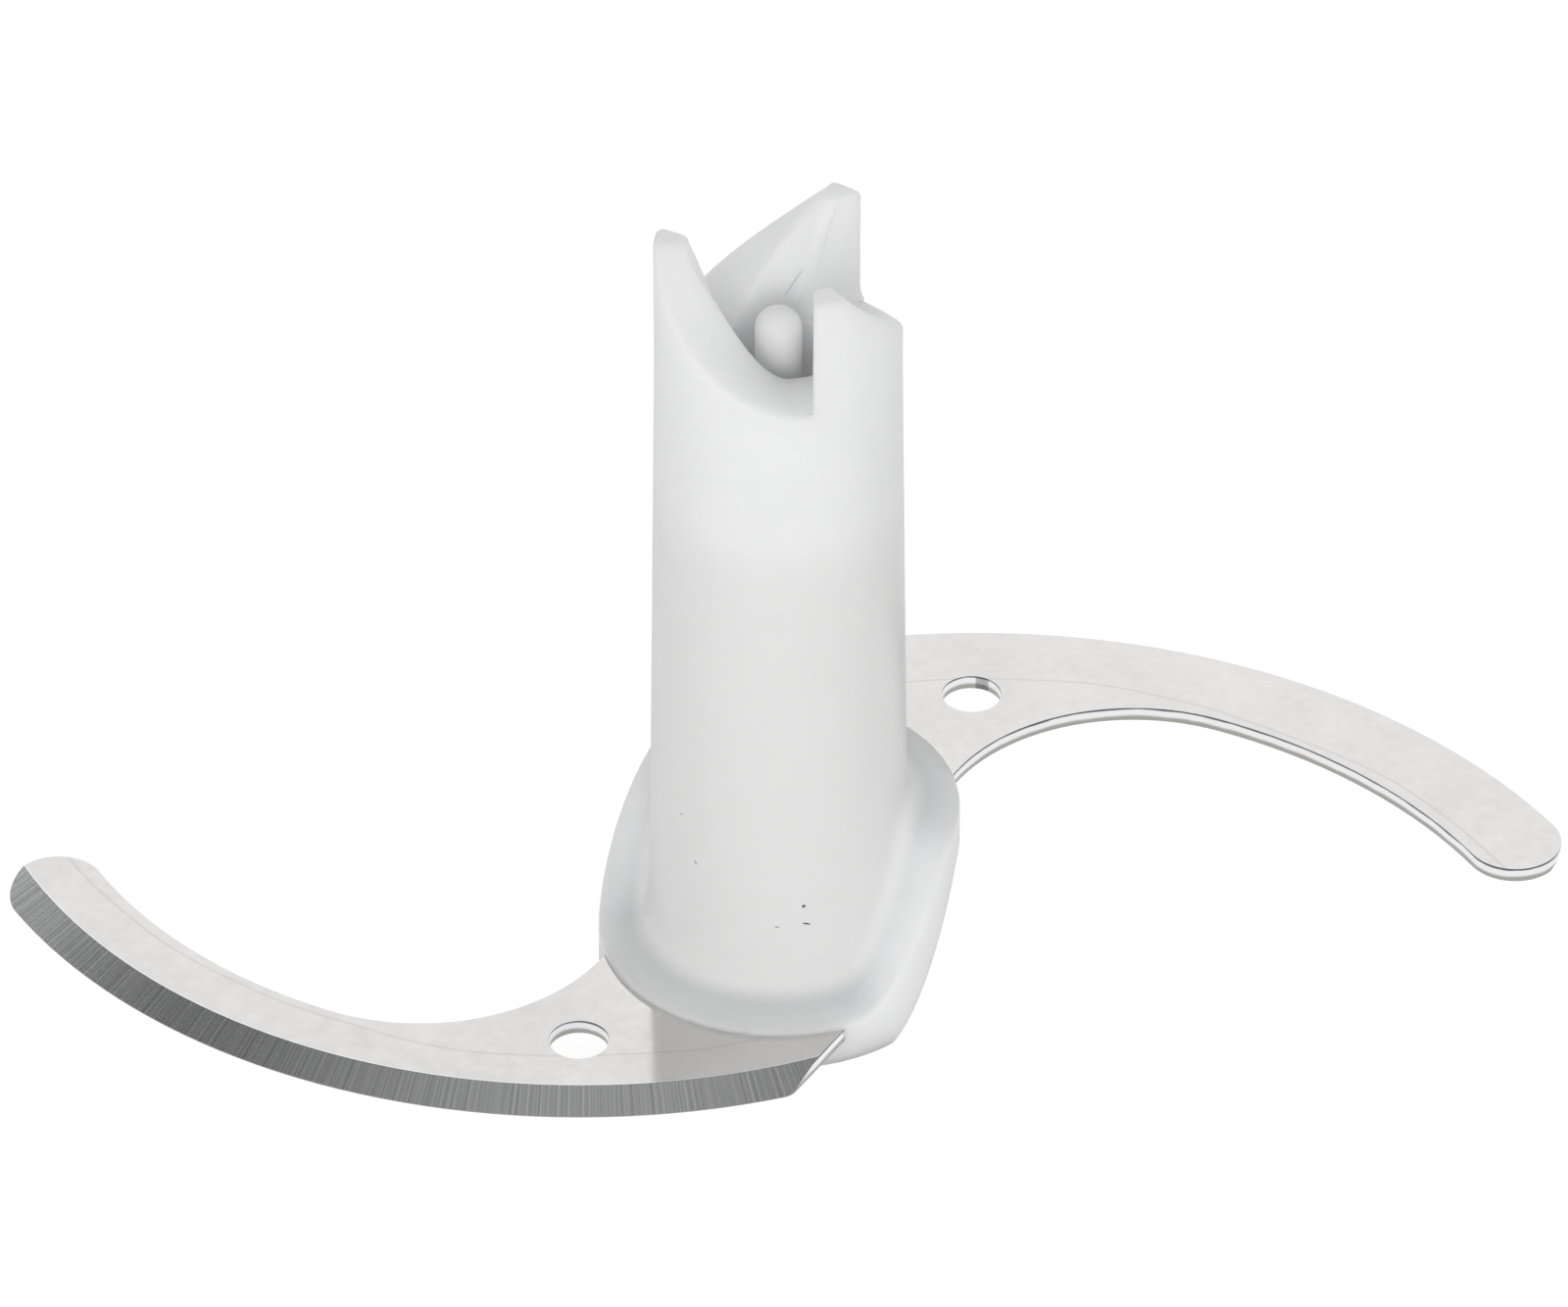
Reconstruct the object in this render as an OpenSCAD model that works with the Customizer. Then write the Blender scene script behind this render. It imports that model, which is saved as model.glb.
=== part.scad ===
// Chopping blade for a small food processor bowl.
// A tall moulded hub carries a low and a high sickle blade on a helical collar.
// The hub turns on the bowl's spindle and is driven from above through a saw-tooth clutch.
// Origin: on the hub's axis in the plane of its foot. +Z is up and the low blade points to -X.
// Seen from above the hub turns counter-clockwise, with the convex cutting edges leading.

/* [Hub tube] */
// Height of the hub from its foot to the tips of the clutch teeth
hub_h = 87; // [78:0.1:110]
// Outer diameter of the straight upper end of the tube
tube_top_d = 24; // [22:0.1:28]
// Outer diameter of the tube at its foot
tube_foot_d = 26; // [24:0.1:30]
// Wall of the tube round the spindle socket
wall = 3.3; // [2.6:0.1:3.8]

/* [Drive clutch] */
// Number of saw teeth
tooth_n = 3; // [2:1:4]
// Height of a tooth from its root to its tip
tooth_h = 12.5; // [9:0.1:16]
// Angle of the level land on top of a tooth
tooth_land = 19; // [10:0.5:30]
// Power by which a ramp levels out towards the next driving face
tooth_curve = 1.6; // [1:0.1:2.2]
// Angle that a driving face leans back over its height
tooth_lean = 0.4; // [0.2:0.1:2]
// Direction of the first driving face, seen from above
tooth_turn = 45.5; // [0:0.5:120]
// Radius of the outer edge of the teeth
tooth_round = 0.8; // [0.4:0.1:1.2]
// Radius of the inner edge of the teeth
tooth_lip = 0.5; // [0.3:0.1:0.8]
// Radius between a driving face and the land
tooth_nose = 0.4; // [0.2:0.1:0.8]
// Wall of the teeth at the mouth of the well
mouth_wall = 3.5; // [2.8:0.1:4.5]
// Wall of the tube round the foot of the well
well_wall = 5.9; // [4.6:0.1:6.6]
// Depth of the well inside the teeth, from their tips
well_depth = 27; // [25:0.1:32]
// Diameter of the pilot post at its domed top
post_d = 4.6; // [3.6:0.1:6]
// Depth of the top of the pilot post below the tips of the teeth
post_drop = 7.8; // [6:0.1:16]

/* [Spindle socket] */
// Diameter of the bowl's spindle
spindle_d = 6; // [5:0.1:7]
// Running clearance on the spindle, on the diameter
spindle_gap = 0.2; // [0.1:0.05:0.4]
// Wall of the sleeve that runs on the spindle
sleeve_wall = 1.9; // [1.5:0.1:2.3]
// Height of the mouth of the sleeve above the foot of the hub
sleeve_lift = 1; // [0.5:0.1:3]
// Lead-in chamfer at the mouth of the sleeve
sleeve_lead = 0.6; // [0.3:0.1:1]
// Number of ribs between the sleeve and the tube
rib_n = 3; // [3:1:6]
// Thickness of a rib
rib_t = 1.6; // [1:0.1:2.4]
// Height of the lower ends of the ribs above the foot of the hub
rib_lift = 4; // [2:0.1:10]
// Thickness of the floor between the socket and the well
floor_t = 3.4; // [2.5:0.1:5]

/* [Collar] */
// Outer diameter of the helical collar
collar_d = 36; // [34:0.1:42]
// Thickness of plastic under each blade
base_t = 2.7; // [2:0.1:4]
// Height of the top of the collar's rim above the blade it covers
rim_rise = 1; // [0.9:0.1:2]
// Radius of the top of the collar's rim
rim_round = 0.8; // [0.4:0.1:0.9]
// Height of the collar's deck above the blade at the foot of the fillet
deck_rise = 1.7; // [1.2:0.1:3]
// Radius of the fillet between the deck and the tube
deck_fillet = 1.6; // [0.8:0.1:2.2]
// Direction of the middle of the front ramp, on the deck
front_mid = -39.5; // [-42:0.5:-34]
// Angle that the front ramp takes, on the deck
front_span = 40; // [34:1:46]
// Direction of the middle of the back ramp, on the deck
back_mid = 151.5; // [149:0.5:156]
// Angle that the back ramp takes, on the deck
back_span = 55; // [48:1:60]
// Angle by which each ramp is set back underneath, for an even thickness of the band
under_lag = 8.7; // [7:0.1:10]

/* [Blades] */
// Thickness of the blade sheet
blade_t = 1.5; // [1:0.1:2]
// Height of the high blade above the low blade
blade_step = 14.85; // [12:0.05:20]
// Turn of the high blade past the half turn
high_turn = 0.9; // [-2:0.1:2]
// Radius of the convex cutting edge
edge_r = 66; // [62:0.5:74]
// Distance of the foremost point of the edge in front of the hub's axis
edge_front = 28.8; // [27:0.1:31]
// Distance of the foremost point of the edge to the side of the hub's axis
edge_side = 19.5; // [17:0.1:22]
// Width of the ground bevel in plan
bevel_w = 3.2; // [2:0.1:4]
// Thickness left at the cutting edge
edge_t = 0.1; // [0.05:0.01:0.2]
// Width of the blade at its waist
waist_w = 9.2; // [8:0.1:11]
// Direction of the waist from the centre of the edge's arc
waist_at = 235; // [228:1:240]
// Radius of the concave back near the tip
back_r = 54; // [48:0.5:58]
// Radius of the concave throat near the hub
throat_r = 20.5; // [18:0.1:23]
// Direction in which the throat runs into the back, from the centre of the back's arc
throat_at = 244.5; // [242:0.1:247]
// Direction of the middle of the rounded tip, from the centre of the edge's arc
tip_at = 210; // [207:0.5:216]
// Distance of the heel's corner on the edge to the side of the hub's axis
heel_side = 1.3; // [-1:0.1:3]
// Slope of the straight cut at the heel
heel_slope = 59; // [54:0.5:64]
// Radius of the heel's corner
heel_round = 2; // [1:0.1:3]
// Diameter of the hole in the blade
hole_d = 6; // [4:0.1:7]
// Distance of the middle of the hole from the throat
hole_reach = 7.5; // [6.5:0.1:8.5]
// Direction of the hole from the centre of the throat's arc
hole_at = 304.4; // [300:0.2:308]
// Plastic between the socket and the root of a blade
root_cover = 1.4; // [1:0.1:2]

/* [Hidden] */
$fn = 128;

// Overlap that lets cuts run clear of the faces they open
eps = 1;
// Angle between neighbouring sections of the collar and the clutch
facet = 3;
// Points on each rounded corner of the collar and the clutch
corner_n = 3;
// How far the collar's fillet ends inside the face of the tube
seat = 0.05;

top_r = tube_top_d / 2;
foot_r = tube_foot_d / 2;
collar_r = collar_d / 2;
tooth_z = hub_h - tooth_h;
well_z = hub_h - well_depth;
socket_z = well_z - floor_t;
well_r = top_r - well_wall;
mouth_r = top_r - mouth_wall;
socket_r = foot_r - wall;
core_r = (socket_r + foot_r) / 2;
bore_r = (spindle_d + spindle_gap) / 2;
sleeve_r = bore_r + sleeve_wall;
post_r = post_d / 2;
tooth_arc = PI * (top_r - mouth_wall / 2) / 180;
root_r = socket_r + root_cover;
low_top = base_t + blade_t;
low_z = base_t;
high_z = base_t + blade_step;

edge_c = [-edge_side, edge_r - edge_front];
back_c = edge_c + (edge_r - waist_w - back_r) * dir(waist_at);
throat_c = back_c + (back_r - throat_r) * dir(throat_at);
tip_back = along(edge_c, tip_at, back_c, back_r);
tip_r = (edge_r - tip_back) / 2;
tip_c = edge_c + (tip_back + tip_r) * dir(tip_at);
heel_drop = sqrt(pow(edge_r, 2) - pow(heel_side - edge_c[0], 2));
heel_c = [heel_side, edge_c[1] - heel_drop];
heel_in = heel_c + heel_round * dir(heel_slope + 90);
heel_run = along(heel_in, heel_slope + 180, edge_c, edge_r - heel_round);
heel_mid = heel_in - heel_run * dir(heel_slope);
// Directions between which the root of the low blade lies in the collar
root_from = 165;
root_to = 308;
// Angle of the area behind the root, from its end round to its start
behind = 360 + root_from - root_to;
// A length that reaches past the whole part
far = 4 * edge_r;

// Unit vector in a direction in plan
function dir(a) = [cos(a), sin(a)];

// Distance from point p in direction a to the far side of the circle with centre c and radius r
function along(p, a, c, r) =
    let (d = c - p, t = d * dir(a))
    t + sqrt(r * r - d * d + t * t);

// Radius of the tube's outside at height z, straight in the clutch and drafted below it
function tube_r(z) = z > tooth_z ? top_r : foot_r + (top_r - foot_r) * z / tooth_z;

// Radius of the well at height z, conical between the teeth and straight below them
function well_at(z) = well_r + (mouth_r - well_r) * (z - tooth_z) / tooth_h;

// Rise from 0 to 1 with eased ends
function eased(s) =
    let (c = min(1, max(0, s)))
    (c + c * c * (3 - 2 * c)) / 2;

// Share of the step that the collar has climbed at angle a, with the ramps shifted by their lag
function climb(a, lag) =
    eased((a - front_mid - lag) / front_span + 0.5) - eased((a - back_mid + lag) / back_span + 0.5);

// Section of the collar at angle a, as points of radius and height
function collar_section(a) =
    let (
        under = blade_step * climb(a, under_lag),
        top = low_top + blade_step * climb(a, 0),
        rim = top + rim_rise - rim_round,
        deck = top + deck_rise,
        inner = tube_r(deck) - seat
    )
    concat(
        [[core_r, under], [collar_r, under]],
        [for (i = [0 : corner_n])
            let (t = 90 * i / corner_n)
            [collar_r - rim_round * (1 - cos(t)), rim + rim_round * sin(t)]],
        [for (i = [0 : corner_n])
            let (t = 90 * i / corner_n)
            [inner + deck_fillet * (1 - sin(t)), deck + deck_fillet * (1 - cos(t))]],
        [[core_r, deck + deck_fillet]]
    );

// Height of a tooth's top at angle a after its driving face
function tooth_top(a) =
    let (
        root = 360 / tooth_n - tooth_lean,
        left = min(1, (root - a) / (root - tooth_land)),
        fall = tooth_h * (1 - pow(left, tooth_curve)),
        s = min(a * tooth_arc, tooth_nose),
        nose = tooth_nose - sqrt(pow(tooth_nose, 2) - pow(tooth_nose - s, 2))
    )
    hub_h - max(fall, nose);

// Angles at which one tooth is sectioned: its rounded nose, its land and its ramp
function tooth_angles() =
    let (
        root = 360 / tooth_n - tooth_lean,
        nose = tooth_nose / tooth_arc,
        steps = ceil((root - tooth_land) / facet)
    )
    concat(
        [for (i = [0 : corner_n]) nose * (1 - cos(90 * i / corner_n))],
        [for (i = [0 : steps]) tooth_land + (root - tooth_land) * i / steps]
    );

// Closed ring swept round the axis through sections that have equally many points.
// Each section is an angle with its points of radius and height.
module ring(sections) {
    n = len(sections);
    m = len(sections[0][1]);
    points = [for (s = sections) for (p = s[1]) [p[0] * cos(s[0]), p[0] * sin(s[0]), p[1]]];
    faces = [
        for (i = [0 : n - 1])
            for (j = [0 : m - 1])
                let (
                    a = i * m + j,
                    b = i * m + (j + 1) % m,
                    c = ((i + 1) % n) * m + (j + 1) % m,
                    d = ((i + 1) % n) * m + j
                )
                each [[a, b, c], [a, c, d]]
    ];
    polyhedron(points = points, faces = faces, convexity = 6);
}

// Helical collar that climbs from the low blade to the high one and back
module collar() {
    ring([for (i = [0 : 360 / facet - 1]) let (a = -90 + i * facet) [a, collar_section(a)]]);
}

// Section of the cut above a tooth's top at height z, rounded at both edges of the tooth
function clutch_section(z) =
    let (
        inner = (post_r + well_r) / 2,
        outer = top_r + eps,
        lip = well_at(z) + tooth_lip - seat,
        edge = top_r - tooth_round + seat
    )
    concat(
        [[inner, z - tooth_lip]],
        [for (i = [0 : corner_n])
            let (t = 90 * i / corner_n)
            [lip - tooth_lip * cos(t), z - tooth_lip + tooth_lip * sin(t)]],
        [for (i = [0 : corner_n])
            let (t = 90 * i / corner_n)
            [edge + tooth_round * sin(t), z - tooth_round + tooth_round * cos(t)]],
        [[outer, z - tooth_round], [outer, hub_h + 2 * eps], [inner, hub_h + 2 * eps]]
    );

// Everything above the tops of the clutch teeth
module clutch_cut() {
    ring([
        for (k = [0 : tooth_n - 1])
            for (a = tooth_angles())
                [tooth_turn + 360 / tooth_n * k + a, clutch_section(tooth_top(a))]
    ]);
}

// Outside of the tube
module tube_outside() {
    rotate_extrude()
        polygon([[0, 0], [foot_r, 0], [top_r, tooth_z], [top_r, hub_h + eps], [0, hub_h + eps]]);
}

// Hollows of the tube: the drafted socket below the floor, and the well that opens as a cone
module tube_inside() {
    socket_top_r = tube_r(socket_z) - wall;
    above = hub_h + eps;
    rotate_extrude()
        polygon([[0, -eps], [socket_r, -eps], [socket_r, 0], [socket_top_r, socket_z], [0, socket_z]]);
    rotate_extrude()
        polygon([[0, well_z], [well_r, well_z], [well_r, tooth_z], [well_at(above), above], [0, above]]);
}

// Sleeve for the spindle with its ribs, hung from the floor
module sleeve() {
    difference() {
        union() {
            translate([0, 0, sleeve_lift])
                cylinder(r = sleeve_r, h = socket_z - sleeve_lift + floor_t / 2);
            for (k = [0 : rib_n - 1])
                rotate([0, 0, 360 / rib_n * k])
                    translate([0, -rib_t / 2, rib_lift])
                        cube([tube_r(socket_z) - wall / 2, rib_t, socket_z - rib_lift + floor_t / 2]);
        }
        translate([0, 0, -eps])
            cylinder(r = bore_r, h = socket_z + eps);
        translate([0, 0, sleeve_lift])
            cylinder(r1 = bore_r + sleeve_lead, r2 = bore_r, h = sleeve_lead);
    }
}

// Pilot post in the well, with a domed top
module post() {
    h = well_depth - post_drop - post_r;
    translate([0, 0, well_z - floor_t / 2])
        cylinder(r = post_r, h = h + floor_t / 2);
    translate([0, 0, well_z + h])
        sphere(r = post_r);
}

// Outline of the stamping in plan, before its edge is ground
module blade_outline() {
    difference() {
        union() {
            polygon([
                edge_c,
                edge_c + far * dir(tip_at),
                edge_c + far * dir((tip_at + 270) / 2),
                edge_c + far * dir(270),
                edge_c + far * dir(315)
            ]);
            translate(tip_c)
                circle(r = tip_r);
        }
        intersection() {
            translate(back_c)
                circle(r = back_r);
            polygon([back_c, back_c + far * dir(throat_at), back_c + far * dir(throat_at - 90)]);
        }
        translate(throat_c)
            circle(r = throat_r);
        // Straight cut at the heel
        polygon([
            heel_c - far * dir(heel_slope),
            heel_c + far * dir(heel_slope - 90),
            heel_c + far * dir(heel_slope)
        ]);
        // Corner of the heel, outside its rounding
        difference() {
            polygon([
                heel_mid,
                heel_mid + far * (heel_mid - edge_c) / edge_r,
                heel_mid + far * dir(heel_slope - 90)
            ]);
            translate(heel_mid)
                circle(r = heel_round);
        }
        // Root inside the collar, clear of the socket
        polygon(concat([[0, 0]], [for (i = [0 : 3]) far * dir(root_to + behind * i / 3)]));
        circle(r = root_r);
        translate(throat_c + (throat_r + hole_reach) * dir(hole_at))
            circle(d = hole_d);
    }
}

// Half section of the disc that the low blade is ground to, with its bevel on top
function bevel_above() =
    [[0, 0], [edge_r, 0], [edge_r, edge_t], [edge_r - bevel_w, blade_t], [0, blade_t]];

// The same for the high blade, with its bevel underneath
function bevel_below() =
    [[0, 0], [edge_r - bevel_w, 0], [edge_r, blade_t - edge_t], [edge_r, blade_t], [0, blade_t]];

// One blade lying on z = 0, ground to the given section
module blade(section) {
    intersection() {
        linear_extrude(height = blade_t)
            blade_outline();
        translate(edge_c)
            rotate_extrude($fn = 256)
                polygon(section);
    }
}

module low_place() {
    translate([0, 0, low_z])
        children();
}

module high_place() {
    translate([0, 0, high_z])
        rotate([0, 0, 180 + high_turn])
            children();
}

module hub() {
    color([0.93, 0.94, 0.95])
        union() {
            difference() {
                union() {
                    tube_outside();
                    collar();
                }
                tube_inside();
                clutch_cut();
                low_place()
                    blade(bevel_above());
                high_place()
                    blade(bevel_below());
            }
            sleeve();
            post();
        }
}

module blade_low() {
    color([0.80, 0.80, 0.80])
        low_place()
            blade(bevel_above());
}

module blade_high() {
    color([0.76, 0.76, 0.77])
        high_place()
            blade(bevel_below());
}

hub();
blade_low();
blade_high();
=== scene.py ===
"""Visual model of a food processor blade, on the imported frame."""

import math

import bmesh
import bpy
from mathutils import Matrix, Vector


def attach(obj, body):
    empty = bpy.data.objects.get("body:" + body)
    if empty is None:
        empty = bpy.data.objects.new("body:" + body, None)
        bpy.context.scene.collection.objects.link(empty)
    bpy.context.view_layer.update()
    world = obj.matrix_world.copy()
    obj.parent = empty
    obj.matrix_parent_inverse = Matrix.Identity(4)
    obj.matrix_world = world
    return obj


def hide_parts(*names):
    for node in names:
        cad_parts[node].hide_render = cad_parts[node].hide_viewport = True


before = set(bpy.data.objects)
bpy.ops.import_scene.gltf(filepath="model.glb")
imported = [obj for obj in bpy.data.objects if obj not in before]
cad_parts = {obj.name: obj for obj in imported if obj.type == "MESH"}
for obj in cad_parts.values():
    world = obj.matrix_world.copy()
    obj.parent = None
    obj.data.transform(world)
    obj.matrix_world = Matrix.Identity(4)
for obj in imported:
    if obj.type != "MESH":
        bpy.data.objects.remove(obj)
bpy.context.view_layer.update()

# Camera in metres, from the fit to the photograph
CAMERA_DISTANCE = 1.1
CAMERA_ELEVATION = math.radians(36.5)
CAMERA_TARGET = Vector((0.00009, 0.0, 0.03799))
CAMERA_LENS = 257.1
CAMERA_SENSOR = 36.0
CAMERA_YAW = math.radians(-0.029)
CAMERA_NEAR = 0.01
CAMERA_FAR = 50

# Blades in metres, for their materials: the cutting edge's arc, the turn of the high blade, the lower
# faces, and the upright share of the ground bevel's normal, which tells it from the flat faces
EDGE_CENTRE = (-0.0195, 0.0372)
HIGH_TURN = math.radians(180.9)
LOW_BASE = 0.0027
HIGH_BASE = 0.01755
BEVEL_NORMAL_Z = 0.9162

# Lines on the blades: the bevel's inner edge with a painted highlight along it, where its tiny rounding
# catches light, and a drawing line beside it
BEVEL_START = 0.0628
EDGE_HIGHLIGHT_WIDTH = 0.00012
DRAW_LINE = 0.0592
DRAW_WANDER = 0.0022
DRAW_DEPTH = 0.45

# Hub in millimetres and degrees, as in the part's source, with the crown's curves fitted more closely
HUB_H = 87.0
TUBE_TOP_R = 12.0
TUBE_FOOT_R = 13.0
WALL = 3.3
TOOTH_N = 3
TOOTH_H = 12.5
TOOTH_LAND = 16.5
TOOTH_CURVE = 1.7
TOOTH_LEAN = 0.4
TOOTH_TURN = 46.2
TOOTH_OFFSET = 3.35
TOOTH_ROUND = 0.8
TOOTH_LIP = 0.5
TOOTH_NOSE = 0.4
WELL_MOUTH_R = 8.9
WELL_R = 5.2
WELL_CURVE = 1.7
WELL_Z = 60.0
SOCKET_Z = 56.6
POST_R = 2.3
POST_TOP = 79.2
BORE_R = 3.1
SLEEVE_R = 5.0
SLEEVE_Z = 1.0
SLEEVE_LEAD = 0.6
RIB_N = 3
RIB_T = 1.6
RIB_Z = 4.0
COLLAR_R = 18.0
LOW_TOP = 4.2
BLADE_STEP = 14.85
RIM_RISE = 1.0
RIM_ROUND = 0.8
FRONT_MID = -39.5
FRONT_SPAN = 40.0
BACK_MID = 151.5
BACK_SPAN = 55.0
UNDER_LAG = 8.7
TOOTH_Z = HUB_H - TOOTH_H
TOOTH_ROOT = 360 / TOOTH_N - TOOTH_LEAN

# Finer forms that only the skin has, in millimetres and degrees
BLEND_RISE = 4.2
BLEND_RUN = 3.7
FOOT_ROUND = 0.35
FLOOR_ROUND = 0.8
RIB_ROUND = 0.3
SKEW_REACH = 42.0
CORNER_RISE = 1.4
SOFTEN = (-5, -3, -1, 1, 3, 5)

# How far the sleeve and the ribs reach into what carries them
CEILING_SINK = 0.5
SLEEVE_SINK = 0.6
WALL_SINK = 0.9

# Meshes: steps along a tooth and round the sleeve, merging distance in metres, and sharp edges
TOOTH_STEPS = 84
SLEEVE_STEP = 3
MERGE = 1e-7
SHARP = math.radians(35)

# Tones of the plastic between the dark and the light of its cloudiness: its own tone where it is thick, a
# lighter tone as painted light where light comes through the tube from inside, and a darker tone as painted
# shade on the deck where the steel lies close under it
THICK_TONES = ((0.865, 0.868, 0.872, 1), (0.915, 0.917, 0.92, 1))
PAINTED_GLOW_TONES = ((0.93, 0.933, 0.937, 1), (0.97, 0.972, 0.975, 1))
PAINTED_DECK_SHADE_TONES = ((0.70, 0.705, 0.71, 1), (0.78, 0.784, 0.79, 1))
DUST_TONE = (0.62, 0.61, 0.60, 1)
FLECK_TONE = (0.02, 0.02, 0.02, 1)

# Dark flecks in the plastic: centre and half axes in millimetres, tilt in degrees, and depth of tone
FLECKS = (
    ((2.48, -12.5, 16.3), (0.22, 0.6, 0.22), 0, 0.97),
    ((2.76, -12.5, 14.1), (0.52, 0.6, 0.11), 18, 0.97),
    ((-0.16, -12.8, 13.9), (0.30, 0.6, 0.09), 8, 0.6),
    ((-9.6, -8.6, 24.5), (0.2, 0.5, 0.2), 0, 0.5),
    ((-8.2, -9.9, 19.6), (0.3, 0.5, 0.14), 60, 0.5),
    # The last is a thin dark line down in the well
    ((1.5, 5.5, 78.4), (0.10, 1.2, 2.3), 32, 0.22),
)

# Tones of the steel: polished faces, their marks and lines with a painted highlight on the bevel's edge, the
# ground bevel, and the sheared wall with painted shade on its rolled edge
POLISHED_TONES = ((0.615, 0.606, 0.60, 1), (0.67, 0.665, 0.66, 1))
MARK_TONE = (0.22, 0.21, 0.20, 1)
DRAWN_TONE = (0.50, 0.47, 0.43, 1)
EDGE_HIGHLIGHT_TONE = (0.80, 0.86, 0.92, 1)
GRIND_TONES = ((0.31, 0.315, 0.32, 1), (0.60, 0.60, 0.60, 1))
WALL_TONES = ((0.36, 0.345, 0.33, 1), (0.80, 0.80, 0.81, 1))
ROLLED_EDGE_SHADE_TONE = (0.12, 0.12, 0.13, 1)

# Soft square lamps: name, place, size in metres and power in watts, all aimed at one point
LAMPS = (
    ("key", (-0.1, -1.6, 0.6), 0.8, 9),
    ("back", (0.5, 1.6, 0.7), 0.9, 2.0),
)
LAMP_AIM = (0, 0, 0.03)

# Floor: size and drop in metres, its tone in plain light and as it is seen, and its glow as it is seen
FLOOR_REACH = 6.0
FLOOR_DROP = 0.00002
PAPER_TONE = (0.88, 0.88, 0.88, 1)
SEEN_TONE = (0.30, 0.30, 0.30, 1)
SEEN_GLOW = 0.85


def put(tree, kind, inputs=None, **settings):
    """Adds a shader node, sets its properties and fills its inputs with values or links."""
    made = tree.nodes.new("ShaderNode" + kind)
    for name, value in settings.items():
        setattr(made, name, value)
    for name, value in (inputs or {}).items():
        if isinstance(value, bpy.types.NodeSocket):
            tree.links.new(value, made.inputs[name])
        else:
            made.inputs[name].default_value = value
    return made


def maths(tree, operation, *values):
    """A number worked out from numbers or sockets."""
    return put(tree, "Math", dict(enumerate(values)), operation=operation).outputs[0]


def apart(tree, a, b):
    """How far two numbers lie apart."""
    return maths(tree, "ABSOLUTE", maths(tree, "SUBTRACT", a, b))


def height_of(tree, vector):
    """The upright part of a vector."""
    return put(tree, "SeparateXYZ", {0: vector}).outputs["Z"]


def length_of(tree, vector):
    """The length of a vector."""
    return put(tree, "VectorMath", {0: vector}, operation="LENGTH").outputs["Value"]


def radius_of(tree, vector):
    """The length of a vector seen from above."""
    flat = put(tree, "VectorMath", {0: vector, 1: (1, 1, 0)}, operation="MULTIPLY").outputs[0]
    return length_of(tree, flat)


def remap(tree, value, low, high, to_low=0.0, to_high=1.0):
    """A socket's value mapped from low..high to to_low..to_high and held there."""
    inputs = {"Value": value, "From Min": low, "From Max": high, "To Min": to_low, "To Max": to_high}
    return put(tree, "MapRange", inputs).outputs[0]


def blend_numbers(tree, factor, a, b):
    """A number between a and b."""
    return put(tree, "Mix", {0: factor, 2: a, 3: b}).outputs[0]


def mix(tree, factor, a, b):
    """A colour between a and b."""
    return put(tree, "Mix", {0: factor, 6: a, 7: b}, data_type="RGBA").outputs[2]


def noise(tree, vector, scale, detail=2.0, rough=0.5):
    """Values of a noise in 3D at so many features a metre."""
    inputs = {"Vector": vector, "Scale": scale, "Detail": detail, "Roughness": rough}
    return put(tree, "TexNoise", inputs).outputs[0]


def specks(tree, vector, scale, size, share):
    """Mask of small marks: one in some of the cells of a scattered grid."""
    cells = put(tree, "TexVoronoi", {"Vector": vector, "Scale": scale})
    dot = remap(tree, cells.outputs["Distance"], size, size * 0.5)
    value = put(tree, "SeparateColor", {0: cells.outputs["Color"]}).outputs[0]
    chosen = maths(tree, "GREATER_THAN", value, 1 - share)
    return maths(tree, "MULTIPLY", dot, chosen)


def material(name, constants):
    """A material with one principled shader, its constant values set on the shader's own sockets."""
    made = bpy.data.materials.new(name)
    made.use_nodes = True
    tree = made.node_tree
    tree.nodes.clear()
    shader = put(tree, "BsdfPrincipled", constants)
    tree.links.new(shader.outputs[0], put(tree, "OutputMaterial").inputs["Surface"])
    return made, tree, shader


def seen_rays(tree, path):
    """Mask of the rays from the camera and from the steel's mirror faces."""
    return maths(tree, "MAXIMUM", path.outputs["Is Camera Ray"], path.outputs["Is Glossy Ray"])


def blot(tree, place, centre, axes, tilt):
    """Mask of one small mark: an ellipsoid about a centre in millimetres, tilted to one side."""
    inputs = {
        "Vector": place,
        "Location": [v / 1000 for v in centre],
        "Rotation": (0.0, math.radians(tilt), 0.0),
        "Scale": [v / 1000 for v in axes],
    }
    inside = put(tree, "Mapping", inputs, vector_type="TEXTURE").outputs[0]
    return remap(tree, length_of(tree, inside), 1.0, 0.6)


def glow_through_mask(tree, place):
    """Mask of the tube from the collar to the well's floor, lightened there as painted light for the light
    that comes through its wall from inside.
    """
    tube = remap(tree, radius_of(tree, place), 0.0150, 0.0132)
    return maths(tree, "MULTIPLY", tube, remap(tree, height_of(tree, place), 0.064, 0.050))


def deck_shade_mask(tree, place):
    """Mask of the collar's deck, where the steel lies close underneath, for painted shade."""
    facing = height_of(tree, put(tree, "NewGeometry").outputs["Normal"])
    deck = remap(tree, radius_of(tree, place), 0.0130, 0.0148)
    return maths(tree, "MULTIPLY", deck, remap(tree, facing, 0.15, 0.75))


def plastic_tone(tree, place):
    """Colour of the cloudy plastic with painted light on the thin tube, painted shade on the collar's deck,
    its dust and flecks, and a thin dark line down in the well.
    """
    cloud = noise(tree, place, 110, 3)
    thick = mix(tree, cloud, *THICK_TONES)
    painted_glow = mix(tree, cloud, *PAINTED_GLOW_TONES)
    deck_shade = mix(tree, cloud, *PAINTED_DECK_SHADE_TONES)
    # Painted light: the tube is lightened where light comes through its wall from inside
    tone = mix(tree, glow_through_mask(tree, place), thick, painted_glow)
    # Painted shade: the collar's deck is darkened over the steel
    tone = mix(tree, deck_shade_mask(tree, place), tone, deck_shade)
    tone = mix(tree, specks(tree, place, 190, 0.04, 0.04), tone, DUST_TONE)
    for centre, axes, tilt, depth in FLECKS:
        fleck = maths(tree, "MULTIPLY", blot(tree, place, centre, axes, tilt), depth)
        tone = mix(tree, fleck, tone, FLECK_TONE)
    return tone


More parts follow.
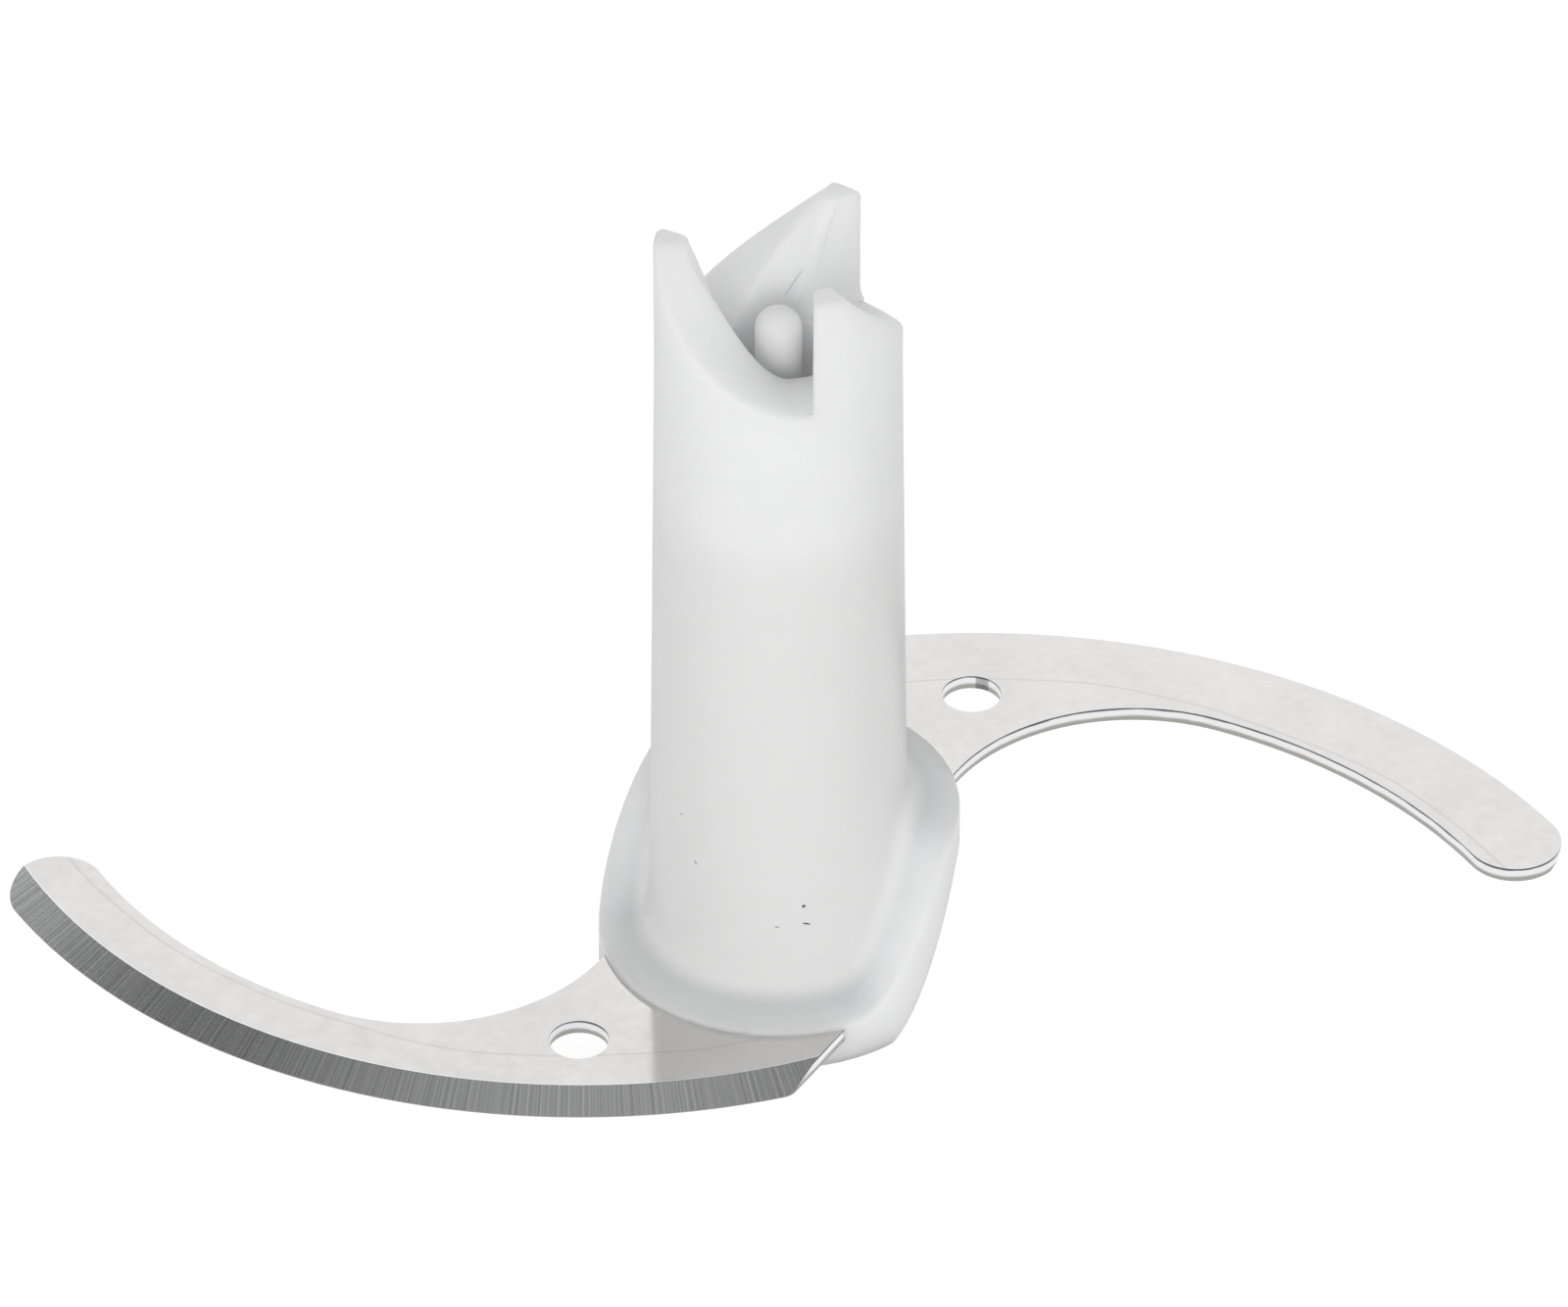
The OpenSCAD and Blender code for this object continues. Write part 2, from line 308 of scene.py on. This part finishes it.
def milky_plastic():
    """Satin translucent moulding plastic."""
    constants = {
        "IOR": 1.49,
        "Subsurface Weight": 1.0,
        "Subsurface Radius": (0.0060, 0.0061, 0.0062),
        "Subsurface Scale": 1.0,
        "Specular IOR Level": 0.4,
    }
    made, tree, shader = material("milky_plastic", constants)
    place = put(tree, "TexCoord").outputs["Object"]
    tree.links.new(plastic_tone(tree, place), shader.inputs["Base Color"])
    satin = remap(tree, noise(tree, place, 800, 4), 0.3, 0.7, 0.36, 0.48)
    tree.links.new(satin, shader.inputs["Roughness"])
    waves = maths(tree, "MULTIPLY", noise(tree, place, 130, 2), 3)
    grain = maths(tree, "ADD", noise(tree, place, 3000, 2), waves)
    bump = put(tree, "Bump", {"Strength": 0.2, "Distance": 0.0001, "Height": grain})
    tree.links.new(bump.outputs[0], shader.inputs["Normal"])
    return made


def sheared(tree, normal):
    """Mask of the stamping's upright walls."""
    return remap(tree, maths(tree, "ABSOLUTE", normal), 0.4, 0.3)


def sheet_wall(tree, place, base):
    """Colours of a sheared wall from its lower edge up: rough break, bright burnish and painted shade on the
    rolled edge.
    """
    height = maths(tree, "SUBTRACT", height_of(tree, place), base)
    ragged = maths(tree, "MULTIPLY", noise(tree, place, 260, 3), 0.0004)
    height = maths(tree, "ADD", height, ragged)
    burnished = remap(tree, height, 0.0006, 0.0009)
    # Painted shade: a dark band along the rolled top edge of the wall
    rolled_edge_shade = remap(tree, height, 0.0014, 0.00155)
    return mix(tree, rolled_edge_shade, mix(tree, burnished, *WALL_TONES), ROLLED_EDGE_SHADE_TONE)


def polished_tone(tree, place, spoke, normal, side):
    """Colour of the polished faces, with marks, a drawing line and a painted highlight along the bevel's
    inner edge on the ground side.
    """
    cloud = maths(tree, "ADD", noise(tree, place, 120, 3), noise(tree, place, 900, 4, 0.65))
    tone = mix(tree, remap(tree, cloud, 0.7, 1.3), *POLISHED_TONES)
    tone = mix(tree, specks(tree, place, 300, 0.08, 0.05), tone, MARK_TONE)
    reach = radius_of(tree, spoke)
    wander = maths(tree, "MULTIPLY", noise(tree, place, 45, 2), DRAW_WANDER)
    off_line = apart(tree, maths(tree, "ADD", reach, wander), DRAW_LINE)
    tone = mix(tree, remap(tree, off_line, 0.00022, 0.00005, 0.0, DRAW_DEPTH), tone, DRAWN_TONE)
    # Painted highlight: a light line along the bevel's inner edge on the ground side
    edge_highlight = remap(tree, apart(tree, reach, BEVEL_START), EDGE_HIGHLIGHT_WIDTH, EDGE_HIGHLIGHT_WIDTH * 0.5)
    ground_side = remap(tree, maths(tree, "MULTIPLY", normal, side), 0.5, 0.6)
    return mix(tree, maths(tree, "MULTIPLY", edge_highlight, ground_side), tone, EDGE_HIGHLIGHT_TONE)


def from_edge_centre(tree, place, turn):
    """Vector from the centre of the cutting edge's arc, with the blade turned to the low one's place."""
    turned = put(tree, "VectorRotate", {"Vector": place, "Angle": -turn}, rotation_type="Z_AXIS").outputs[0]
    centre = (*EDGE_CENTRE, 0.0)
    return put(tree, "VectorMath", {0: turned, 1: centre}, operation="SUBTRACT").outputs[0]


def grinding_lines(tree, spoke):
    """Fine lines that run across the cutting edge."""
    axes = put(tree, "SeparateXYZ", {0: spoke})
    around = maths(tree, "ARCTAN2", axes.outputs["Y"], axes.outputs["X"])
    inputs = {"W": around, "Scale": 190, "Detail": 5, "Roughness": 0.8}
    return put(tree, "TexNoise", inputs, noise_dimensions="1D").outputs[0]


def blade_steel(name, turn, base, side):
    """Polished sheet with sheared walls, and a bevel ground on its upper side (1) or its lower side (-1)."""
    made, tree, shader = material(name, {"Metallic": 1.0})
    place = put(tree, "TexCoord").outputs["Object"]
    spoke = from_edge_centre(tree, place, turn)
    normal = height_of(tree, put(tree, "NewGeometry").outputs["True Normal"])
    slope = maths(tree, "ABSOLUTE", normal)
    ground = remap(tree, apart(tree, slope, BEVEL_NORMAL_Z), 0.05, 0.04)
    lines = grinding_lines(tree, spoke)
    polished = polished_tone(tree, place, spoke, normal, side)
    polished = mix(tree, sheared(tree, normal), polished, sheet_wall(tree, place, base))
    grind = mix(tree, remap(tree, lines, 0.3, 0.7), *GRIND_TONES)
    tree.links.new(mix(tree, ground, polished, grind), shader.inputs["Base Color"])
    shine = remap(tree, noise(tree, place, 500, 3), 0.3, 0.7, 0.08, 0.14)
    scored = remap(tree, lines, 0.3, 0.7, 0.26, 0.17)
    tree.links.new(blend_numbers(tree, ground, shine, scored), shader.inputs["Roughness"])
    depth = maths(tree, "MULTIPLY", ground, 0.25)
    bump = put(tree, "Bump", {"Strength": depth, "Distance": 0.0001, "Height": lines})
    tree.links.new(bump.outputs[0], shader.inputs["Normal"])
    return made


def line(start, end, count):
    """Points from start towards end, without the end."""
    run = end[0] - start[0]
    rise = end[1] - start[1]
    return [(start[0] + run * i / count, start[1] + rise * i / count) for i in range(count)]


def quarter(centre, across, rise, start, end, count):
    """Points on an ellipse about a centre, from one angle in degrees to another, without the last."""
    angles = [math.radians(start + (end - start) * i / count) for i in range(count)]
    return [(centre[0] + across * math.cos(t), centre[1] + rise * math.sin(t)) for t in angles]


def blend(a, b, c, d, count):
    """Points on a smooth curve from a to d that heads for b first and comes from c, without the last."""
    points = []
    for i in range(count):
        t = i / count
        parts = ((1 - t) ** 3, 3 * t * (1 - t) ** 2, 3 * t * t * (1 - t), t ** 3)
        points.append(tuple(sum(w * p[k] for w, p in zip(parts, (a, b, c, d))) for k in (0, 1)))
    return points


def clamp(value):
    """A share held between 0 and 1."""
    return min(1.0, max(0.0, value))


def eased(s):
    """Rise from 0 to 1 with eased ends."""
    c = clamp(s)
    return (c + c * c * (3 - 2 * c)) / 2


def climb(angle, lag, soften):
    """Share of the step that the collar has climbed, its kinks softened over some neighbouring angles."""
    total = 0.0
    for near in soften:
        front = eased((angle + near - FRONT_MID - lag) / FRONT_SPAN + 0.5)
        back = eased((angle + near - BACK_MID + lag) / BACK_SPAN + 0.5)
        total += front - back
    return total / len(soften)


def tube_r(z):
    """Radius of the tube's outside at a height."""
    return TUBE_FOOT_R + (TUBE_TOP_R - TUBE_FOOT_R) * min(1.0, z / TOOTH_Z)


def well_at(z):
    """Radius of the well at a height."""
    return WELL_R + (WELL_MOUTH_R - WELL_R) * (max(0.0, z - TOOTH_Z) / TOOTH_H) ** WELL_CURVE


def rounded(run, radius):
    """How far a corner of a given radius stands back at a distance from its face."""
    run = min(max(run, 0.0), radius)
    return radius - math.sqrt(max(0.0, radius * radius - (radius - run) ** 2))


def tooth_shape(after):
    """Height of a tooth's land and ramp at an angle after its driving face."""
    left = clamp((TOOTH_ROOT - after) / (TOOTH_ROOT - TOOTH_LAND))
    return HUB_H - TOOTH_H * (1 - left ** TOOTH_CURVE)


def tooth_top(after):
    """The same height with the rounding between the driving face and the land."""
    run = math.radians(after) * TUBE_TOP_R
    return min(tooth_shape(after), HUB_H - rounded(run, TOOTH_NOSE))


def skew(radius, after):
    """Angle that a point is turned by, so that the driving faces lie flat beside the axis."""
    outer = math.acos(TOOTH_OFFSET / TUBE_TOP_R)
    turn = math.degrees(outer - math.acos(TOOTH_OFFSET / max(radius, WELL_R)))
    return turn * max(0.0, 1 - min(after, TOOTH_ROOT - after) / SKEW_REACH)


def tooth_steps():
    """Angles after a driving face, close together in its rounded corner."""
    close = TOOTH_ROUND / TUBE_TOP_R
    corner = [math.degrees(close * (1 - math.cos(math.radians(t)))) for t in range(0, 90, 10)]
    first = math.degrees(close)
    return corner + [first + (TOOTH_ROOT - first) * i / TOOTH_STEPS for i in range(TOOTH_STEPS + 1)]


def well_side(top):
    """Section from the top of the post down and up the well to the root of the teeth."""
    dome = POST_TOP - POST_R
    foot = WELL_Z + FLOOR_ROUND
    points = quarter((0, dome), POST_R, POST_R, 90, 0, 9)
    points += line((POST_R, dome), (POST_R, foot), 5)
    points += quarter((POST_R + FLOOR_ROUND, foot), FLOOR_ROUND, FLOOR_ROUND, 180, 270, 4)
    points += line((POST_R + FLOOR_ROUND, WELL_Z), (WELL_R - FLOOR_ROUND, WELL_Z), 2)
    points += quarter((WELL_R - FLOOR_ROUND, foot), FLOOR_ROUND, FLOOR_ROUND, 270, 360, 4)
    points += line((WELL_R, foot), (WELL_R, TOOTH_Z - TOOTH_LIP), 8)
    for i in range(7):
        rise = TOOTH_LIP * math.sin(math.radians(15 * i))
        z = TOOTH_Z - TOOTH_LIP + rise
        points.append((well_at(z) + rounded(top - z, TOOTH_LIP), z))
    return points


def round_start(z, top, radius):
    """Angle in degrees at which a tooth's upper rounding starts, which is above 0 near its root."""
    return math.degrees(math.asin(min(1.0, (z - top + radius) / radius)))


def set_in(z):
    """Share of the driving face's corner rounding at a height, which grows from the root of the teeth."""
    return min(1.0, (z - TOOTH_Z) / CORNER_RISE)


def tooth_side(after, top):
    """Section over a tooth, from the root of the teeth inside to their root outside."""
    run = math.radians(after) * TUBE_TOP_R
    inner_cut = rounded(run, TOOTH_LIP)
    outer_cut = rounded(run, TOOTH_ROUND)
    outer = TUBE_TOP_R - outer_cut
    lip_z = max(TOOTH_Z, top - TOOTH_LIP)
    edge_z = max(TOOTH_Z, top - TOOTH_ROUND)
    lip_start = round_start(lip_z, top, TOOTH_LIP)
    edge_start = round_start(edge_z, top, TOOTH_ROUND)
    inner = well_at(lip_z) + inner_cut
    lip = TOOTH_LIP * (1 - math.cos(math.radians(lip_start)))
    points = []
    for _, z in line((0, TOOTH_Z), (0, lip_z), 16):
        points.append((well_at(z) + lip + inner_cut * set_in(z), z))
    centre = (inner + TOOTH_LIP, top - TOOTH_LIP)
    points += quarter(centre, TOOTH_LIP, TOOTH_LIP, 180 - lip_start, 90, 6)
    points += line((inner + TOOTH_LIP, top), (outer - TOOTH_ROUND, top), 8)
    centre = (outer - TOOTH_ROUND, top - TOOTH_ROUND)
    points += quarter(centre, TOOTH_ROUND, TOOTH_ROUND, 90, edge_start, 8)
    back = TOOTH_ROUND * (1 - math.cos(math.radians(edge_start)))
    for _, z in line((0, edge_z), (0, TOOTH_Z), 18):
        points.append((TUBE_TOP_R - back - outer_cut * set_in(z), z))
    return points


def collar_side(angle):
    """Section down the tube and over the collar to its underside."""
    under = BLADE_STEP * climb(angle, UNDER_LAG, (0,))
    rim = LOW_TOP + BLADE_STEP * climb(angle, 0, SOFTEN) + RIM_RISE
    rim_r = COLLAR_R - RIM_ROUND
    start = (tube_r(rim + BLEND_RISE), rim + BLEND_RISE)
    points = line((TUBE_TOP_R, TOOTH_Z - TOOTH_ROUND - 0.2), start, 26)
    end = (start[0] + BLEND_RUN, rim + 0.25)
    points += blend(start, (start[0] + 0.05, rim + 1.1), (start[0] + 1.5, rim + 0.35), end, 14)
    points += line(end, (rim_r, rim), 3)
    points += quarter((rim_r, rim - RIM_ROUND), RIM_ROUND, RIM_ROUND, 90, 0, 8)
    points += line((COLLAR_R, rim - RIM_ROUND), (COLLAR_R, under + FOOT_ROUND), 8)
    points += quarter((COLLAR_R - FOOT_ROUND, under + FOOT_ROUND), FOOT_ROUND, FOOT_ROUND, 0, -90, 5)
    points += line((COLLAR_R - FOOT_ROUND, under), (tube_r(under), under), 5)
    return points + line((tube_r(under), under), (TUBE_FOOT_R, 0), 6)


def socket_side():
    """Section from the foot up the socket to the axis."""
    foot_r = TUBE_FOOT_R - WALL
    ceiling_r = tube_r(SOCKET_Z) - WALL
    points = line((TUBE_FOOT_R, 0), (foot_r, 0), 3)
    points += line((foot_r, 0), (ceiling_r, SOCKET_Z), 12)
    points += line((ceiling_r, SOCKET_Z), (0, SOCKET_Z), 3)
    return points + [(0, SOCKET_Z)]


def outer_side(angle, top):
    """Section from the root of the teeth down the tube, over the collar and up the socket."""
    points = []
    for i in range(7):
        fall = TOOTH_ROUND * math.sin(math.radians(90 - 15 * i))
        z = TOOTH_Z - TOOTH_ROUND + fall
        points.append((TUBE_TOP_R - rounded(top - z, TOOTH_ROUND), z))
    return points + collar_side(angle) + socket_side()


def swept(sections):
    """Closed mesh through sections round the axis, whose points have an angle, a radius and a height."""
    vertices = []
    for points in sections:
        for angle, r, z in points:
            turn = math.radians(angle)
            vertices.append((r * math.cos(turn) / 1000, r * math.sin(turn) / 1000, z / 1000))
    n = len(sections)
    m = len(sections[0])
    faces = []
    for i in range(n):
        follow = (i + 1) % n
        faces += [(i * m + j, i * m + j + 1, follow * m + j + 1, follow * m + j) for j in range(m - 1)]
    return vertices, faces


def piece(name, vertices, faces, made, slot):
    """A piece of the visual model on the one body, smooth except where it turns sharply."""
    mesh = bpy.data.meshes.new(name)
    mesh.from_pydata(vertices, [], faces)
    work = bmesh.new()
    work.from_mesh(mesh)
    bmesh.ops.remove_doubles(work, verts=work.verts, dist=MERGE)
    bmesh.ops.dissolve_degenerate(work, edges=work.edges, dist=MERGE)
    bmesh.ops.recalc_face_normals(work, faces=work.faces)
    work.to_mesh(mesh)
    work.free()
    mesh.polygons.foreach_set("use_smooth", [True] * len(mesh.polygons))
    mesh.set_sharp_from_angle(angle=SHARP)
    mesh.materials.append(made)
    thing = bpy.data.objects.new(name, mesh)
    bpy.context.collection.objects.link(thing)
    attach(thing, "root")
    return thing


def skewed(points, angle, after):
    """Crown points turned with the driving faces and set back on the land and ramp, with their angles."""
    made = []
    for r, z in points:
        shift = skew(r, after)
        share = clamp((z - TOOTH_Z) / max(0.01, tooth_shape(after) - TOOTH_Z))
        drop = (tooth_shape(after) - tooth_shape(after + shift)) * share
        made.append((angle + shift, r, z - drop))
    return made


def eased_in(points, angle, after):
    """Well points that take up the crown's turn on their way up."""
    made = []
    for r, z in points:
        share = clamp((z - WELL_Z) / (TOOTH_Z - TOOTH_LIP - WELL_Z))
        on_wall = r > (WELL_R + POST_R) / 2
        made.append((angle + (skew(r, after) * share if on_wall else 0.0), r, z))
    return made


def add_hub_skin(made):
    """The moulding's outside with its well, crown, collar and socket, in place of the hub's node."""
    sections = []
    for k in range(TOOTH_N):
        for after in tooth_steps():
            angle = TOOTH_TURN + 360 / TOOTH_N * k + after
            turned = (angle + 90) % 360 - 90
            top = tooth_top(after)
            points = eased_in(well_side(top), angle, after)
            points += skewed(tooth_side(after, top), angle, after)
            points += [(angle, r, z) for r, z in outer_side(turned, top)]
            sections.append(points)
    skin = piece("hub_skin", *swept(sections), made, "hub_plastic")
    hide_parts("hub")


def add_sleeve(made):
    """Sleeve for the spindle with its lead-in, hung from the socket's ceiling."""
    top = SOCKET_Z + CEILING_SINK
    points = line((BORE_R, top), (BORE_R, SLEEVE_Z + SLEEVE_LEAD), 6)
    points += line((BORE_R, SLEEVE_Z + SLEEVE_LEAD), (BORE_R + SLEEVE_LEAD, SLEEVE_Z), 2)
    points += line((BORE_R + SLEEVE_LEAD, SLEEVE_Z), (SLEEVE_R - FOOT_ROUND, SLEEVE_Z), 3)
    points += quarter((SLEEVE_R - FOOT_ROUND, SLEEVE_Z + FOOT_ROUND), FOOT_ROUND, FOOT_ROUND, -90, 0, 5)
    points += line((SLEEVE_R, SLEEVE_Z + FOOT_ROUND), (SLEEVE_R, top), 6)
    points += line((SLEEVE_R, top), (BORE_R, top), 2)
    points += [(BORE_R, top)]
    sections = [[(angle, r, z) for r, z in points] for angle in range(0, 360, SLEEVE_STEP)]
    sleeve = piece("spindle_sleeve", *swept(sections), made, "hub_plastic")
    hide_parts("hub")


def rib_outline(low, high):
    """Outline of a rib across its thickness, with its lower and upper edges rounded."""
    half = RIB_T / 2
    soft = RIB_ROUND
    outline = quarter((half - soft, low + soft), soft, soft, -90, 0, 4)
    outline += [(half, low + soft), (half, high - soft)]
    outline += quarter((half - soft, high - soft), soft, soft, 0, 90, 4)
    outline += [(half - soft, high)]
    return outline + [(-x, z) for x, z in reversed(outline)]


def upright(turn, start, end, outline):
    """Closed mesh of an upright rib at an angle, between two distances from the axis."""
    count = len(outline)
    vertices = []
    for reach in (start, end):
        for x, z in outline:
            across = reach * math.cos(turn) - x * math.sin(turn)
            along = reach * math.sin(turn) + x * math.cos(turn)
            vertices.append((across / 1000, along / 1000, z / 1000))
    faces = [(i, (i + 1) % count, count + (i + 1) % count, count + i) for i in range(count)]
    faces += [tuple(range(count)), tuple(range(2 * count - 1, count - 1, -1))]
    return vertices, faces


def add_ribs(made):
    """Ribs between the sleeve and the socket's wall."""
    outline = rib_outline(RIB_Z, SOCKET_Z + CEILING_SINK)
    start = BORE_R + SLEEVE_SINK
    end = TUBE_TOP_R - WALL + WALL_SINK
    for k in range(RIB_N):
        shape = upright(math.radians(360 / RIB_N * k), start, end, outline)
        rib = piece("socket_rib_%d" % (k + 1), *shape, made, "hub_plastic")
        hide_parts("hub")


def dress(name, made):
    """Gives a CAD node its material."""
    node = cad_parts[name]
    node.data.materials.clear()
    node.data.materials.append(made)


def add_camera():
    """Camera at the photograph's viewing angle."""
    data = bpy.data.cameras.new("camera")
    data.sensor_width = CAMERA_SENSOR
    data.lens = CAMERA_LENS
    data.clip_start = CAMERA_NEAR
    data.clip_end = CAMERA_FAR
    camera = bpy.data.objects.new("camera", data)
    back = Vector((0, -math.cos(CAMERA_ELEVATION), math.sin(CAMERA_ELEVATION)))
    camera.location = CAMERA_TARGET + back * CAMERA_DISTANCE
    camera.rotation_euler = (math.pi / 2 - CAMERA_ELEVATION, 0, CAMERA_YAW)
    bpy.context.collection.objects.link(camera)
    bpy.context.scene.camera = camera


def add_lamp(name, place, size, power):
    """Soft square lamp that the steel doesn't mirror."""
    data = bpy.data.lights.new(name, "AREA")
    data.size = size
    data.energy = power
    lamp = bpy.data.objects.new(name, data)
    lamp.location = place
    lamp.rotation_mode = "QUATERNION"
    lamp.rotation_quaternion = (Vector(LAMP_AIM) - Vector(place)).to_track_quat("-Z", "Y")
    lamp.visible_glossy = False
    bpy.context.collection.objects.link(lamp)


def mirrored_strength(tree, height):
    """What the steel sees by the height of its view: bright low down, grey overhead, paler at the top."""
    low = remap(tree, height, 0.38, 0.52, -0.35, 0.0)
    middle = remap(tree, height, 0.63, 0.74, 1.2, 0.14)
    top = remap(tree, height, 0.88, 0.99, 0.0, 0.56)
    return maths(tree, "ADD", maths(tree, "ADD", low, middle), top)


def add_world():
    """Soft light from all round, with a white surround for the camera and a graded one for the steel."""
    world = bpy.data.worlds.new("surround")
    world.use_nodes = True
    tree = world.node_tree
    tree.nodes.clear()
    path = put(tree, "LightPath")
    seen = maths(tree, "MAXIMUM", seen_rays(tree, path), path.outputs["Is Transmission Ray"])
    height = height_of(tree, put(tree, "TexCoord").outputs["Generated"])
    plain = remap(tree, height, 0.0, 0.8, 1.0, 0.44)
    looked_at = blend_numbers(tree, path.outputs["Is Camera Ray"], mirrored_strength(tree, height), 1.0)
    strength = blend_numbers(tree, seen, plain, looked_at)
    sky = put(tree, "Background", {"Color": (1, 1, 1, 1), "Strength": strength})
    tree.links.new(sky.outputs[0], put(tree, "OutputWorld").inputs["Surface"])
    bpy.context.scene.world = world


def floor_paper():
    """Pale paper that looks white where it is lit and keeps the shadow."""
    made = bpy.data.materials.new("floor_paper")
    made.use_nodes = True
    tree = made.node_tree
    tree.nodes.clear()
    seen = seen_rays(tree, put(tree, "LightPath"))
    paper = put(tree, "BsdfDiffuse", {"Color": mix(tree, seen, PAPER_TONE, SEEN_TONE)})
    lift = put(tree, "Emission", {"Strength": maths(tree, "MULTIPLY", seen, SEEN_GLOW)})
    both = put(tree, "AddShader", {0: paper.outputs[0], 1: lift.outputs[0]})
    tree.links.new(both.outputs[0], put(tree, "OutputMaterial").inputs["Surface"])
    return made


def add_floor():
    """Plain pale floor just under the foot."""
    mesh = bpy.data.meshes.new("floor")
    signs = ((-1, -1), (1, -1), (1, 1), (-1, 1))
    corners = [(FLOOR_REACH * x, FLOOR_REACH * y, -FLOOR_DROP) for x, y in signs]
    mesh.from_pydata(corners, [], [(0, 1, 2, 3)])
    mesh.materials.append(floor_paper())
    floor = bpy.data.objects.new("floor", mesh)
    bpy.context.collection.objects.link(floor)


add_camera()
plastic = milky_plastic()
dress("hub", plastic)
add_hub_skin(plastic)
add_sleeve(plastic)
add_ribs(plastic)
dress("blade_low", blade_steel("steel_low", 0.0, LOW_BASE, 1.0))
dress("blade_high", blade_steel("steel_high", HIGH_TURN, HIGH_BASE, -1.0))
add_floor()
add_world()
for lamp_values in LAMPS:
    add_lamp(*lamp_values)
bpy.context.scene.view_settings.view_transform = "Standard"
